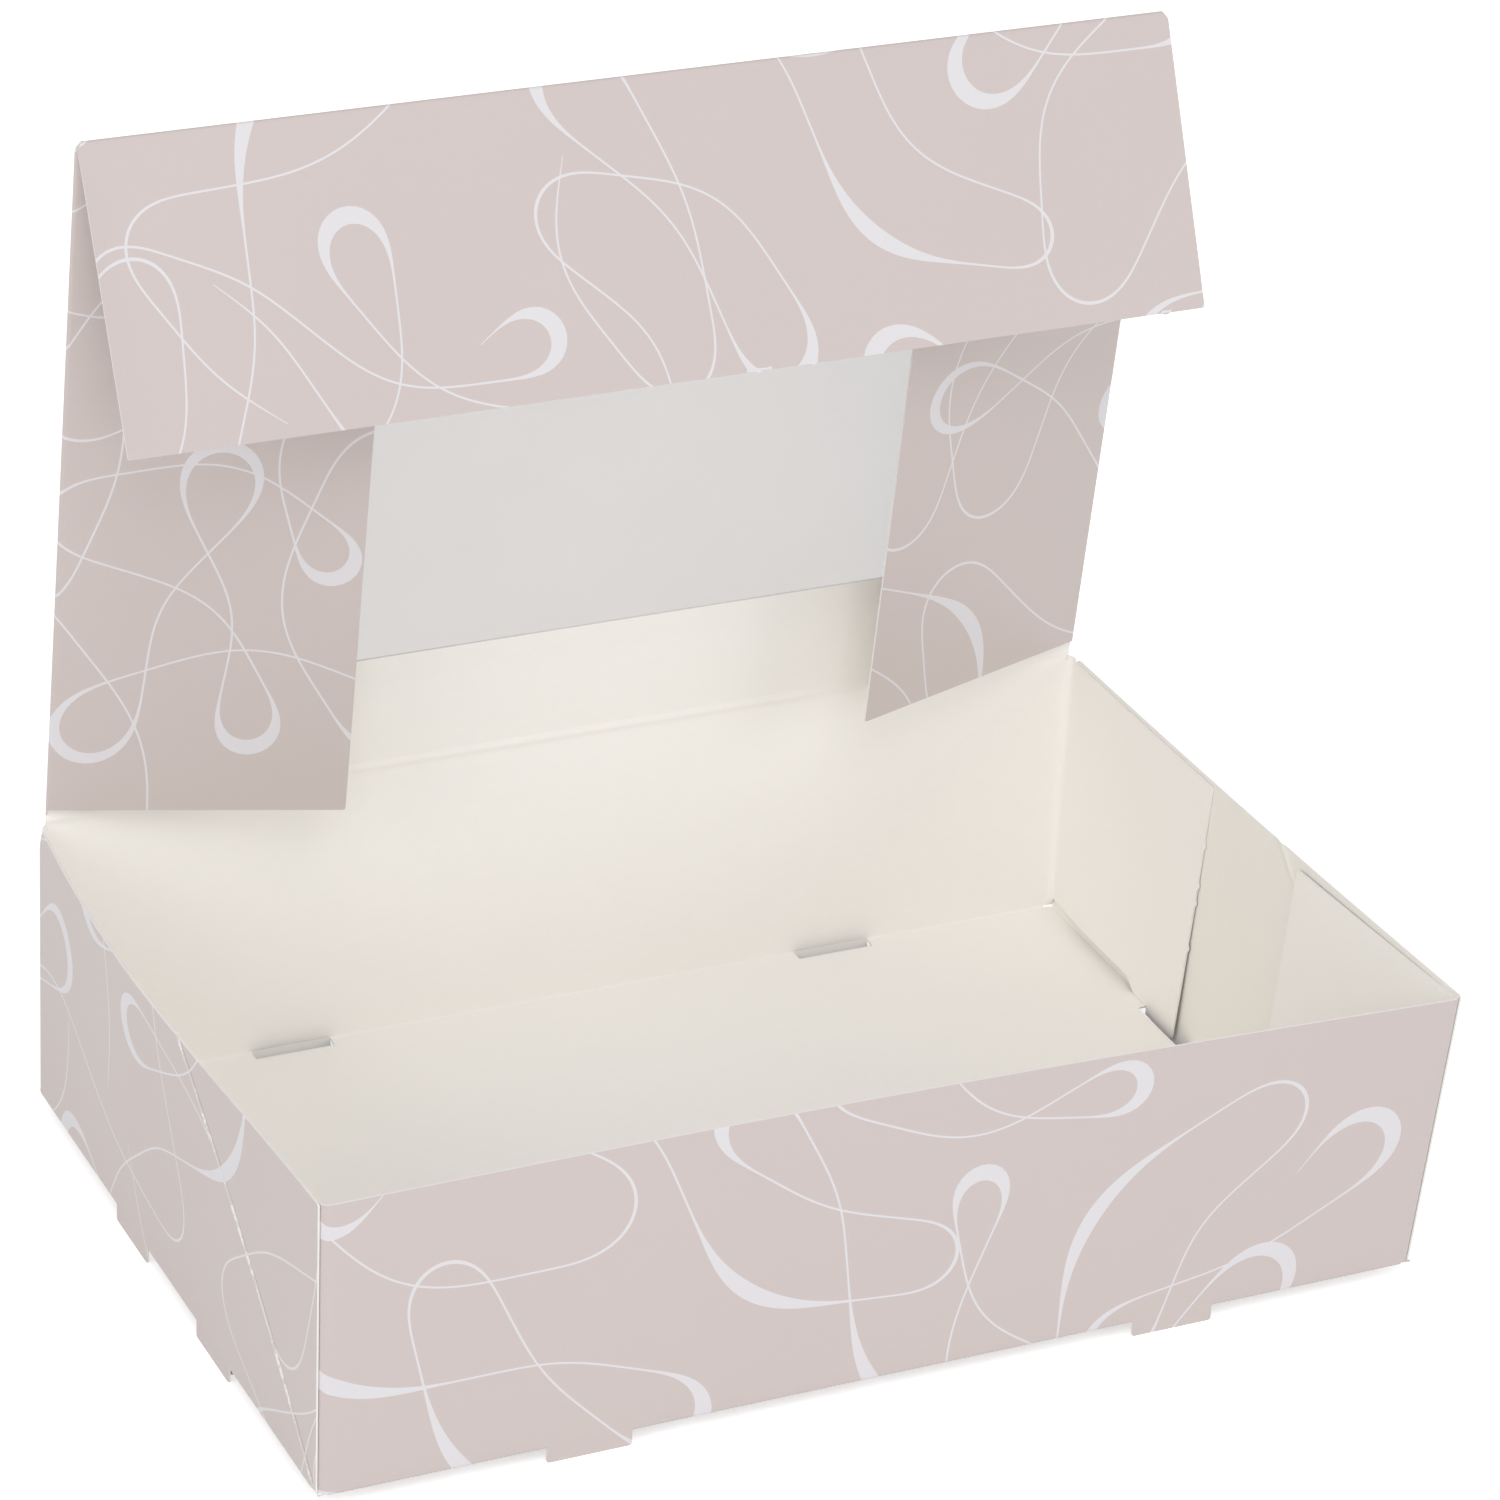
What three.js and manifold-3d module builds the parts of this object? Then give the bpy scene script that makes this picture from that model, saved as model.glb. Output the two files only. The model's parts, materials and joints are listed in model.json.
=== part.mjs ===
// Pastry box with a window in its lid: one paperboard blank, cut, creased, folded and glued, and a
// clear film behind the window. Millimetres, +Z up, +X to the right seen from the front, +Y to the
// back. The origin is under the middle of the tray, at the height of the feet's lower ends.

import * as THREE from 'three';
import { mergeVertices } from 'three/addons/utils/BufferGeometryUtils.js';
import Module from 'manifold-3d';

// Board
const boardThickness = 0.5;
const foldRadius = 0.65;            // at the middle of the board
const foldSteps = 6;                // facets in a quarter turn
const cornerRadius = 2;             // rounded corners of flaps and window

// Tray
const trayWidth = 300;
const trayDepth = 200;
const wallHeight = 79.5;            // from the underside of the bottom to the top edge
const sideWallSetback = 1.3;        // side walls stop this far behind the front and back faces
const wallTopClearance = 0.2;       // closed lid above the wall tops

// Feet: tabs cut free of the bottom that stay in the plane of their wall
const footHeight = 4;
const footWidth = 22.5;
const footChamfer = 0.8;
const slotDepth = 4.2;
const longFootFirst = 70.5;         // middle of the first foot along the front and back walls
const longFootPitch = 160;
const sideFootFirst = 70.5;         // middle of the first foot along the side walls
const sideFootPitch = 58;

// Glue flaps inside the side walls
const frontFlapTop = 76;            // flap length along its top edge
const frontFlapBottom = 93;
const backFlapTop = 80;
const backFlapBottom = 72;
const glueFlapDrop = 0.8;           // flap top edge below the wall top
const reliefHeight = 3.2;           // raised lower edge next to the fold
const frontReliefLength = 30;
const backReliefLength = 49;

// Diagonal creases on the side walls, which let an unfilled tray press flat
const diagonalStart = 2;            // from the front face, at the bottom
const diagonalEnd = 86;             // from the front face, at the top
const diagonalWidth = 1.2;
const diagonalDepth = 0.12;

// Lid
const lidInset = 1.5;               // lid edge inside the tray's outer face, each side
const lidFrontSetback = 1.5;        // front crease behind the tray's front face when closed
const hingeGap = 0.45;              // from each crease's axis to the board next to it
const lidOpening = 83.5;            // degrees, from closed to the pose modelled
const windowSideBorder = 35;
const windowEndBorder = 35;
const filmMargin = 8;               // glued border of the film around the window
const filmThickness = 0.15;
const pieceGap = 0.3;               // between the lid and the film
const cutOver = 1;                  // how far a cut runs past the board it cuts

// Flaps of the lid
const sideFlapWidth = 77;
const sideFlapLift = 16;            // degrees, from the lid's inside to the folded-in flap
const sideFlapRearGap = 5;
const sideFlapFrontGap = 3;
const frontFlapLength = 77.5;
const frontFlapTaper = 1.2;         // each side is this much shorter at the free edge
const frontFlapLift = 33;           // degrees, from the lid's inside to the folded-in flap

// Derived sizes
const halfWidth = trayWidth / 2;
const halfDepth = trayDepth / 2;
const halfBoard = boardThickness / 2;
const foldReach = foldRadius + halfBoard;
const bottomTop = footHeight + boardThickness;
const wallTop = footHeight + wallHeight;
const wallFoot = footHeight + foldReach;
const hingeY = halfDepth - halfBoard;
const hingeZ = wallTop + wallTopClearance + halfBoard;
const lidWidth = trayWidth - 2 * lidInset;
const lidLength = hingeY + halfDepth - lidFrontSetback;
const radians = THREE.MathUtils.degToRad;

const wasm = await Module();
wasm.setup();

const upright = (x, y, z) => new THREE.Matrix4().makeTranslation(x, y, z);

// A drawing in X and Z whose thickness runs towards the front from y
function facingFront(y) {
  const basis = new THREE.Matrix4().makeBasis(
    new THREE.Vector3(1, 0, 0), new THREE.Vector3(0, 0, 1), new THREE.Vector3(0, -1, 0));
  return upright(0, y, 0).multiply(basis);
}

// A drawing in Y and Z whose thickness runs to the right from x
function facingSide(x) {
  const basis = new THREE.Matrix4().makeBasis(
    new THREE.Vector3(0, 1, 0), new THREE.Vector3(0, 0, 1), new THREE.Vector3(1, 0, 0));
  return upright(x, 0, 0).multiply(basis);
}

function solid(geometry) {
  const bare = geometry.clone();
  bare.deleteAttribute('normal');
  bare.deleteAttribute('uv');
  const merged = mergeVertices(bare, 1e-5);
  return new wasm.Manifold(new wasm.Mesh({
    numProp: 3,
    vertProperties: new Float32Array(merged.attributes.position.array),
    triVerts: new Uint32Array(merged.index.array),
  }));
}

function extruded(shape, depth, place) {
  const geometry = new THREE.ExtrudeGeometry(shape, { depth, bevelEnabled: false, curveSegments: foldSteps });
  return solid(geometry.applyMatrix4(place));
}

function toGeometry(manifold) {
  const mesh = manifold.getMesh();
  const geometry = new THREE.BufferGeometry();
  geometry.setAttribute('position', new THREE.BufferAttribute(Float32Array.from(mesh.vertProperties), 3));
  geometry.setIndex(new THREE.BufferAttribute(Uint32Array.from(mesh.triVerts), 1));
  geometry.computeVertexNormals();
  return geometry;
}

// Middle line of a folded strip: straight runs, with a fold of foldRadius between them. A turn is in
// degrees, positive to the left. Each station has the point and the direction to its left.
function foldedLine(start, heading, steps) {
  const line = [];
  let point = start.clone();
  let angle = radians(heading);
  const station = () => line.push({
    point: point.clone(),
    left: new THREE.Vector2(-Math.sin(angle), Math.cos(angle)),
  });
  station();
  for (const { run, turn } of steps) {
    if (run) {
      point.add(new THREE.Vector2(Math.cos(angle), Math.sin(angle)).multiplyScalar(run));
      station();
      continue;
    }
    const count = Math.max(2, Math.ceil(Math.abs(turn) / 90 * foldSteps));
    const part = radians(turn) / count;
    const chord = 2 * foldRadius * Math.sin(Math.abs(part) / 2);
    for (let k = 0; k < count; k += 1) {
      angle += part / 2;
      point.add(new THREE.Vector2(Math.cos(angle), Math.sin(angle)).multiplyScalar(chord));
      angle += part / 2;
      station();
    }
  }
  return line;
}

function mirrored(line) {
  return line.map(({ point, left }) => ({
    point: new THREE.Vector2(-point.x, point.y),
    left: new THREE.Vector2(-left.x, left.y),
  })).reverse();
}

function boardSection(line) {
  const side = (sign) => line.map(({ point, left }) => point.clone().addScaledVector(left, sign * halfBoard));
  return new THREE.Shape([...side(-1), ...side(1).reverse()]);
}

function polygon(points) {
  return new THREE.Shape(points.map(([x, y]) => new THREE.Vector2(x, y)));
}

// Outline through the corners [x, y, radius]
function roundedOutline(corners) {
  const shape = new THREE.Shape();
  corners.forEach(([x, y, radius], k) => {
    const towards = ([nextX, nextY]) =>
      new THREE.Vector2(nextX - x, nextY - y).setLength(radius).add(new THREE.Vector2(x, y));
    const entry = towards(corners.at(k - 1));
    const exit = towards(corners[(k + 1) % corners.length]);
    if (k) shape.lineTo(entry.x, entry.y);
    else shape.moveTo(entry.x, entry.y);
    if (radius) shape.quadraticCurveTo(x, y, exit.x, exit.y);
  });
  return shape;
}

// Wall, bottom and wall of one folded section
const uSteps = (length) => [
  { run: wallHeight - foldReach },
  { turn: 90 },
  { run: length - 2 * foldReach },
  { turn: 90 },
  { run: wallHeight - foldReach },
];

// Left wall, bottom and right wall in one section, extruded from back to front
function sideWallsAndBottom() {
  const line = foldedLine(new THREE.Vector2(-halfWidth + halfBoard, wallTop), -90, uSteps(trayWidth));
  const length = trayDepth - 2 * sideWallSetback;
  return extruded(boardSection(line), length, facingFront(length / 2));
}

// Front wall, bottom and back wall in one section, extruded from left to right between the corner folds
function endWallsAndBottom() {
  const line = foldedLine(new THREE.Vector2(-halfDepth + halfBoard, wallTop), -90, uSteps(trayDepth));
  const inset = boardThickness + foldReach;
  return extruded(boardSection(line), trayWidth - 2 * inset, facingSide(-halfWidth + inset));
}

// Feet are listed once: where each one's middle is, and which wall it continues
function feet() {
  const list = [];
  for (const step of [0, 1]) {
    const along = -halfWidth + longFootFirst + step * longFootPitch;
    const back = -halfDepth + sideFootFirst + step * sideFootPitch;
    list.push({ place: facingFront(-halfDepth + boardThickness), along });
    list.push({ place: facingFront(halfDepth), along });
    list.push({ place: facingSide(-halfWidth), along: back });
    list.push({ place: facingSide(halfWidth - boardThickness), along: back });
  }
  return list;
}

function footSolid({ place, along }) {
  const half = footWidth / 2;
  const outline = polygon([
    [along - half + footChamfer, 0],
    [along + half - footChamfer, 0],
    [along + half, footChamfer],
    [along + half, wallFoot + boardThickness],
    [along - half, wallFoot + boardThickness],
    [along - half, footChamfer],
  ]);
  return extruded(outline, boardThickness, place);
}

function footSlots() {
  const slots = [];
  const low = footHeight - boardThickness;
  const depth = boardThickness + slotDepth;
  for (const step of [0, 1]) {
    const along = -halfWidth + longFootFirst + step * longFootPitch;
    const back = -halfDepth + sideFootFirst + step * sideFootPitch;
    for (const side of [-1, 1]) {
      slots.push({ size: [footWidth, 2 * depth], at: [along, side * halfDepth] });
      slots.push({ size: [2 * depth, footWidth], at: [side * halfWidth, back] });
    }
  }
  return slots.map(({ size, at }) => {
    const [w, d] = [size[0] / 2, size[1] / 2];
    const outline = roundedOutline([
      [at[0] - w, at[1] - d, footChamfer], [at[0] + w, at[1] - d, footChamfer],
      [at[0] + w, at[1] + d, footChamfer], [at[0] - w, at[1] + d, footChamfer],
    ]);
    return extruded(outline, wallFoot - low, upright(0, 0, low));
  });
}

// One end wall with its two corner folds and glue flaps, cut to the flap outline drawn in Y and Z
function flapStrip(end, topLength, bottomLength, reliefLength) {
  const longest = Math.max(topLength, bottomLength);
  const steps = [
    { run: longest - foldReach },
    { turn: 90 },
    { run: trayWidth - 2 * boardThickness - 2 * foldReach },
    { turn: 90 },
    { run: longest - foldReach },
  ];
  const start = new THREE.Vector2(-halfWidth + 1.5 * boardThickness, -halfDepth + longest);
  const strip = extruded(boardSection(foldedLine(start, -90, steps)), wallTop - bottomTop, upright(0, 0, bottomTop));
  const flapTop = wallTop - glueFlapDrop;
  const outline = roundedOutline([
    [-halfDepth - cutOver, bottomTop + reliefHeight, 0],
    [-halfDepth + reliefLength, bottomTop + reliefHeight, 0],
    [-halfDepth + reliefLength + reliefHeight, bottomTop, cornerRadius],
    [-halfDepth + bottomLength, bottomTop, cornerRadius],
    [-halfDepth + topLength, flapTop, cornerRadius],
    [-halfDepth + foldReach + boardThickness, flapTop, 0],
    [-halfDepth + foldReach, wallTop, 0],
    [-halfDepth - cutOver, wallTop, 0],
  ]);
  const cut = strip.intersect(extruded(outline, trayWidth, facingSide(-halfWidth)));
  return end < 0 ? cut : cut.mirror([0, 1, 0]);
}

// Pressed grooves along the diagonal of each side wall
function diagonalGrooves() {
  const rise = wallHeight + cutOver;
  const lean = diagonalEnd - diagonalStart;
  const across = diagonalWidth * Math.hypot(rise, lean) / rise;
  const front = -halfDepth + diagonalStart;
  const outline = polygon([
    [front, footHeight], [front + across, footHeight],
    [front + lean + across, wallTop + cutOver], [front + lean, wallTop + cutOver],
  ]);
  const left = extruded(outline, 2 * diagonalDepth, facingSide(-halfWidth - diagonalDepth));
  return left.add(left.mirror([1, 0, 0]));
}

function tray() {
  let body = sideWallsAndBottom().add(endWallsAndBottom());
  for (const slot of footSlots()) body = body.subtract(slot);
  for (const foot of feet()) body = body.add(footSolid(foot));
  body = body.add(flapStrip(-1, frontFlapTop, frontFlapBottom, frontReliefLength));
  body = body.add(flapStrip(1, backFlapTop, backFlapBottom, backReliefLength));
  return body.subtract(diagonalGrooves());
}

// The lid is drawn closed, with its hinge at the origin and its front edge towards -Y
function lid() {
  const panelRun = lidLength - 2 * hingeGap;
  const panel = new THREE.BoxGeometry(lidWidth, panelRun, boardThickness);
  let body = solid(panel.applyMatrix4(upright(0, -lidLength / 2, 0)));

  const line = foldedLine(new THREE.Vector2(0, 0), 0, [
    { run: lidWidth / 2 - foldReach },
    { turn: sideFlapLift - 180 },
    { run: sideFlapWidth - foldReach },
  ]);
  const flapRun = lidLength - sideFlapRearGap - sideFlapFrontGap;
  const folded = boardSection([...mirrored(line), ...line.slice(1)]);
  body = body.add(extruded(folded, flapRun, facingFront(-sideFlapRearGap)));

  // Slanted front ends of the side flaps, which stay clear of the front flap as it folds in
  const slope = Math.sin(radians(sideFlapLift)) / Math.tan(radians(frontFlapLift));
  const front = -lidLength + sideFlapFrontGap;
  const reach = lidWidth / 2 + cutOver;
  const inner = reach - sideFlapWidth - 2 * cutOver;
  const flapEnd = polygon([
    [reach, front - cutOver], [reach, front], [inner, front + slope * (reach - inner)], [inner, front - cutOver],
  ]);
  const under = sideFlapWidth * Math.sin(radians(sideFlapLift)) + 2 * foldReach;
  const right = extruded(flapEnd, under, upright(0, 0, -boardThickness - under));
  body = body.subtract(right).subtract(right.mirror([1, 0, 0]));

  return body.subtract(extruded(windowOutline(0), 2 * boardThickness, upright(0, 0, -boardThickness)));
}

function windowOutline(margin) {
  const x = lidWidth / 2 - windowSideBorder + margin;
  const rear = -windowEndBorder + margin;
  const front = -lidLength + windowEndBorder - margin;
  return roundedOutline([
    [-x, front, cornerRadius], [x, front, cornerRadius], [x, rear, cornerRadius], [-x, rear, cornerRadius],
  ]);
}

function film() {
  const top = -halfBoard - pieceGap;
  return extruded(windowOutline(filmMargin), filmThickness, upright(0, 0, top - filmThickness));
}

// The front flap is drawn in line with the lid; its crease's axis runs along the board's inner face
function frontFlap() {
  const top = lidWidth / 2;
  const free = top - frontFlapTaper;
  const outline = roundedOutline([
    [-free, -frontFlapLength, cornerRadius], [free, -frontFlapLength, cornerRadius],
    [top, -hingeGap, 0], [-top, -hingeGap, 0],
  ]);
  return extruded(outline, boardThickness, upright(0, 0, 0));
}

function piece(name, manifold, look) {
  const mesh = new THREE.Mesh(toGeometry(manifold), new THREE.MeshStandardMaterial(look));
  mesh.name = name;
  return mesh;
}

const printedBoard = { color: 0xd3cac6, roughness: 0.6, metalness: 0 };
const clearFilm = { color: 0xe4e2df, roughness: 0.08, metalness: 0, transparent: true, opacity: 0.3 };

const flapGroup = new THREE.Group();
flapGroup.position.set(0, -lidLength, -halfBoard);
flapGroup.rotation.x = radians(180 - frontFlapLift);
flapGroup.add(piece('lid_front_flap', frontFlap(), printedBoard));

const lidGroup = new THREE.Group();
lidGroup.position.set(0, hingeY, hingeZ);
lidGroup.rotation.x = -radians(lidOpening);
lidGroup.add(piece('lid', lid(), printedBoard));
lidGroup.add(piece('window_film', film(), clearFilm));
lidGroup.add(flapGroup);

const pastryBox = new THREE.Group();
pastryBox.add(piece('tray', tray(), printedBoard));
pastryBox.add(lidGroup);

export default pastryBox;
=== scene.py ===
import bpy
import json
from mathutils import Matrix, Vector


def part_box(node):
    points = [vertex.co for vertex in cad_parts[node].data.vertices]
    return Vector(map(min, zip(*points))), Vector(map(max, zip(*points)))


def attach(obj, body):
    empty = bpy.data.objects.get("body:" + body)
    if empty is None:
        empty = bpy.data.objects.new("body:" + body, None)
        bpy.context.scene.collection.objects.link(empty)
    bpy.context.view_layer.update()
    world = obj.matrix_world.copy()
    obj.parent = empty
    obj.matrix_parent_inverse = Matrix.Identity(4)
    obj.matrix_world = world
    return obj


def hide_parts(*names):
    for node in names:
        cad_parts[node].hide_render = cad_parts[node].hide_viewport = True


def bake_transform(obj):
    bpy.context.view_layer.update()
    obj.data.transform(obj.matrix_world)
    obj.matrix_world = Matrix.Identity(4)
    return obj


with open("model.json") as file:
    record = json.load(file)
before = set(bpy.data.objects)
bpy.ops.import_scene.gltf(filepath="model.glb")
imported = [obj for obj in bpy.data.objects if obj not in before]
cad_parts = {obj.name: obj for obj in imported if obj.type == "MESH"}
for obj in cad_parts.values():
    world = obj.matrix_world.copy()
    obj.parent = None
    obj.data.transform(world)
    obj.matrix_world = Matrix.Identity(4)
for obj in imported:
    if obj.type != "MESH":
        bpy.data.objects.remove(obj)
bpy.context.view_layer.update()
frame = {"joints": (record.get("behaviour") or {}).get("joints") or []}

import json
import math
import random

import bpy
from mathutils import Matrix, Vector
from mathutils.geometry import delaunay_2d_cdt

# Lengths are in millimetres until a mesh is written, which is in metres.
MM = 0.001

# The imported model's own sizes
tray_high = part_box("tray")[1] / MM
joints = {joint["name"]: joint for joint in frame["joints"]}
lid_joint = joints["lid_hinge"]
flap_joint = joints["front_flap_fold"]
hinge_point = Vector(lid_joint["pos_m"]) / MM
flap_crease_point = Vector(flap_joint["pos_m"]) / MM
LID_OPENING = -lid_joint["range_deg"][0]
FRONT_FLAP_FOLD = -flap_joint["range_deg"][0]
HALF_WIDTH = tray_high.x
HALF_DEPTH = tray_high.y
WALL_TOP = tray_high.z

# Board
BOARD = 0.5
HALF_BOARD = BOARD / 2
FOLD_RADIUS = 0.65
FOLD_REACH = FOLD_RADIUS + HALF_BOARD
QUARTER_FOLD = FOLD_RADIUS * math.pi / 2
CORNER_RADIUS = 2.3
CORNER_REACH = CORNER_RADIUS + HALF_BOARD
# Strips of a right-angled fold, the grid that lets board bow, and how far its lines pass the edge
FOLD_STRIPS = 6
FEWEST_STRIPS = 3
GRID = 11.0
PAST_EDGE = 1.0
# Rounded corners, how far a cut steps past a crease, and how near two points are one
ROUND_STEPS = 4
CORNER_ROUND = 2.0
SMALL_ROUND = 0.8
CREASE_STEP = 0.6
JOIN_WITHIN = 1e-4
# A point's distance from a crease, for board that has none
UNMARKED = 99.0

# Tray
FOOT_HEIGHT = 4.0
FOOT_WIDTH = 22.5
FOOT_ROUND = 1.0
SLOT_DEPTH = 4.2
LONG_FOOT_FIRST = 70.5
LONG_FOOT_PITCH = 160.0
SIDE_FOOT_FIRST = 70.5
SIDE_FOOT_PITCH = 58.0
SIDE_WALL_SETBACK = 1.3
WALL_FOOT = FOOT_HEIGHT + FOLD_REACH
WALL_RUN = WALL_TOP - WALL_FOOT
SIDE_WALL_CUT = (2.6, 5.0)
SIDE_CORNER_NIP = 0.1
REAR_CORNER_HOLE = 0.3
# The hinge's crease, its bend's radius and its pressed bead
HINGE_CREASE = 2.8
HINGE_CREASE_DROP = 1.2
HINGE_BEND = 0.3
HINGE_BEAD = 0.36
HINGE_BEAD_SKEW = 1.3
HINGE_STEPS = 12
# White strips in the slots in the back, painted light for the bright ground seen through them, and the back
# feet, which have sprung inwards
SLOT_LIGHT_WIDTH = 0.4
SLOT_LIGHT_START = 0.3
SLOT_LIGHT_OVERLAP = 0.1
SLOT_LIGHT_LENGTH = 2.0
SLOT_LIGHT_THICKNESS = 0.3
SLOT_LIGHT_SET_DOWN = 0.13
BACK_FOOT_LEAN = 0.3
BACK_FOOT_LIFT = 0.06

# Glue flaps: where their edges and cuts are, counted from the wall's corner, and the stubs that the die left
LONGEST_FLAP = 100.0
FRONT_GLUE_FLAP = {"top": 76.0, "bottom": 80.0, "relief": 30.0, "drop": (1.0, 2.4), "dip": 59.6}
BACK_GLUE_FLAP = {"top": 80.0, "bottom": 75.5, "relief": 49.0, "drop": (0.8, 0.9), "dip": 60.4}
GLUE_FLAP_DIP = 2.6
GLUE_FLAP_GAP = 0.1
RELIEF_HEIGHT = 3.2
RELIEF_TIP = ((0.4, 0.0), (-0.5, 0.4))
RELIEF_FOOT = (-0.8, 0.3)
BACK_FLAP_NICKS = (19.5, 32.0, 37.5, 52.0)
GLUE_FLAP_STUB = (1.2, 0.4, 0.55)

# Diagonal creases of the side walls, and the lines beside them that round them
DIAGONAL_START = 2.0
DIAGONAL_END = 86.0
DIAGONAL_LEAN = (DIAGONAL_END - DIAGONAL_START) / (WALL_TOP - FOOT_HEIGHT)
DIAGONAL_SPREAD = 0.8
DIAGONAL_DEPTH = 0.4
DIAGONAL_OVERRUN = 2.0
DIAGONAL_LINES = (-2.0, -1.2, -0.6, 0.0, 0.6, 1.2, 2.0)

# How the opened tray stands away from a true box, at its top edge
FRONT_LEFT_SHIFT = Vector((0.0, 2.5))
FRONT_RIGHT_SHIFT = Vector((4.0, -4.0))
LEFT_BULGE = 4.6
LEFT_BULGE_SKEW = 1.36
RIGHT_BULGE = -1.2
FRONT_BOW = 3.2
# How far the glue flaps stand off the side walls: all over, at the top and at the foot, left and right
FRONT_STAND_OFF = {-1: (0.1, 0.5, 0.3), 1: (0.15, 0.35, 0.4)}
BACK_STAND_OFF = {-1: (0.05, 0.2, 0.5), 1: (0.03, 0.05, 1.2)}
# How far from the crease they stand off in full, and the same for their top
STAND_OFF_REACH = 20.0
TOP_STAND_OFF_REACH = 77.0

# Lid
LID_HALF_WIDTH = HALF_WIDTH - 1.5
LID_LENGTH = (flap_crease_point - hinge_point).yz.length
LID_FOLD_START = LID_HALF_WIDTH - FOLD_REACH
WINDOW_SIDE_BORDER = 35.0
WINDOW_END_BORDER = 35.0
FILM_MARGIN = 8.0
FILM_THICKNESS = 0.15
FILM_GAP = 0.3
FILM_RIPPLE = 0.06
FILM_RIPPLE_START = 0.8
FILM_RIPPLE_REACH = (31.0, 23.0)
PANE_INSET = 0.4
SIDE_FLAP_WIDTH = 77.0
SIDE_FLAP_LIFT = 16.0
SIDE_FLAP_REAR_GAP = 5.0
SIDE_FLAP_FRONT_GAP = 3.0
FRONT_FLAP_LENGTH = 77.5
FRONT_FLAP_TAPER = 1.2
FRONT_FLAP_TOP_INSET = 0.2
FRONT_FLAP_ROUNDS = (0.6, 0.5)
FRONT_FLAP_CREASE = 2.4
FRONT_FLAP_RADIUS = 0.6
FLAP_CURL_WIDTH = 2.4
FLAP_CURL_START = 12.0
FLAP_CURL = 0.35
CURL_STEPS = 3
# Ends of the flap's crease: pinched in towards its middle
FLAP_CREASE_INSET = 0.3
FLAP_CREASE_PINCH = ((0.15, 1.6), (1.2, 0.2))
FLAP_CREASE_UNWORN = 1.0
# Stubs at the flap's free edge, with the width of the torn print at each, and the torn spot's outline
FLAP_NICKS = ((20.0, 7.0), (35.0, 2.6), (136.0, 3.0))
FRONT_FLAP_STUB = (1.0, 0.4, 0.35)
TORN_SPOT = ((-0.5, 0.5), (-0.2, 0.8), (0.3, 0.6), (0.5, 0.9), (0.5, 0.1), (-0.5, 0.1))

# Scrolls of the print: what the pen can do next, as bends [length, degrees turned, pressure of the pen]
HAIR_LINE = 0.27
FULL_LINE = 2.5
LINE_STEP = 1.5
LINE_TAPER = 14.0
LINE_TIP = 0.35
PEN_SWELL = 1.6
BROAD_LINE = 1.0
PEN_STROKES = [
    [(44, 20, 0), (60, 205, 1.0)],
    [(50, -30, 0), (56, 190, 0.9)],
    [(40, 34, 0), (72, -245, 0.65)],
    [(36, -20, 0), (70, 62, 0.85), (46, 168, 0.12)],
    [(56, 50, 0), (54, 150, 0.08)],
    [(50, 44, 0), (48, 215, 0.9)],
    [(64, -36, 0), (44, 120, 0.05), (40, 20, 0)],
]
STROKE_SIZES = (0.94, 1.04, 1.14)
STROKE_COUNT = 210
PRINT_LOW = Vector((-245.0, -15.0))
PRINT_HIGH = Vector((245.0, 655.0))
# How the pen finds room: places tried for a new line, and what it costs to cross or leave the blank
SPACING_SQUARE = 6.0
PLACES_TRIED = 60
ROOM_REACH = 3
CROWDED = 1.4
PEN_MARK = 0.08
MARK_BASE = 0.5
CROSSING_BASE = 0.6
OFF_BLANK_COST = 0.25
CROWDED_END_COST = 0.5
CHANCE_COST = 0.12
PRINT_SEED = 12


# The print

def pen_line(pen, bends):
    """Points (x, y, heading, half width) of some bends from the pen's place, and its new place."""
    x, y, heading = pen
    line = []
    for length, turn, pressure in bends:
        steps = round(length / LINE_STEP)
        for k in range(steps):
            wave = 1 - math.cos(2 * math.pi * (k + 0.5) / steps)
            swell = pressure * (wave / 2) ** PEN_SWELL
            line.append((x, y, heading, HAIR_LINE + (FULL_LINE - HAIR_LINE) * swell))
            heading += math.radians(turn) * wave / steps
            x += math.cos(heading) * length / steps
            y += math.sin(heading) * length / steps
    return line, (x, y, heading)


def squares_near(point, reach):
    i, j = int(point[0] // SPACING_SQUARE), int(point[1] // SPACING_SQUARE)
    return [(i + di, j + dj) for di in range(-reach, reach + 1) for dj in range(-reach, reach + 1)]


def crowding(line, end, taken):
    """How much of a line falls where the blank is already printed, or off the blank."""
    total = 0.0
    for point in line:
        total += taken.get(squares_near(point, 0)[0], 0.0) * (CROSSING_BASE + point[3])
        total += OFF_BLANK_COST * max(0.0, PRINT_LOW.x - point[0], point[0] - PRINT_HIGH.x,
                                      PRINT_LOW.y - point[1], point[1] - PRINT_HIGH.y)
    return total / len(line) + CROWDED_END_COST * taken.get(squares_near(end, 0)[0], 0.0)


def barest_place(chance, taken):
    """The place with most room around it, of some picked by chance."""
    def printed(place):
        return sum(taken.get(square, 0.0) for square in squares_near(place, ROOM_REACH))

    places = [(chance.uniform(PRINT_LOW.x, PRINT_HIGH.x), chance.uniform(PRINT_LOW.y, PRINT_HIGH.y))
              for _ in range(PLACES_TRIED)]
    return min(places, key=printed)


def line_quads(line):
    """A line as short four-sided pieces, thin at its two ends."""
    rails = []
    for k, (x, y, heading, half) in enumerate(line):
        taper = min(1.0, k * LINE_STEP / LINE_TAPER, (len(line) - 1 - k) * LINE_STEP / LINE_TAPER)
        side = Vector((-math.sin(heading), math.cos(heading))) * half * (LINE_TIP + (1 - LINE_TIP) * taper)
        rails.append((Vector((x, y)) + side, Vector((x, y)) - side))
    return [(b_right, b_left, a_left, a_right)
            for (a_left, a_right), (b_left, b_right) in zip(rails, rails[1:])]


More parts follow.
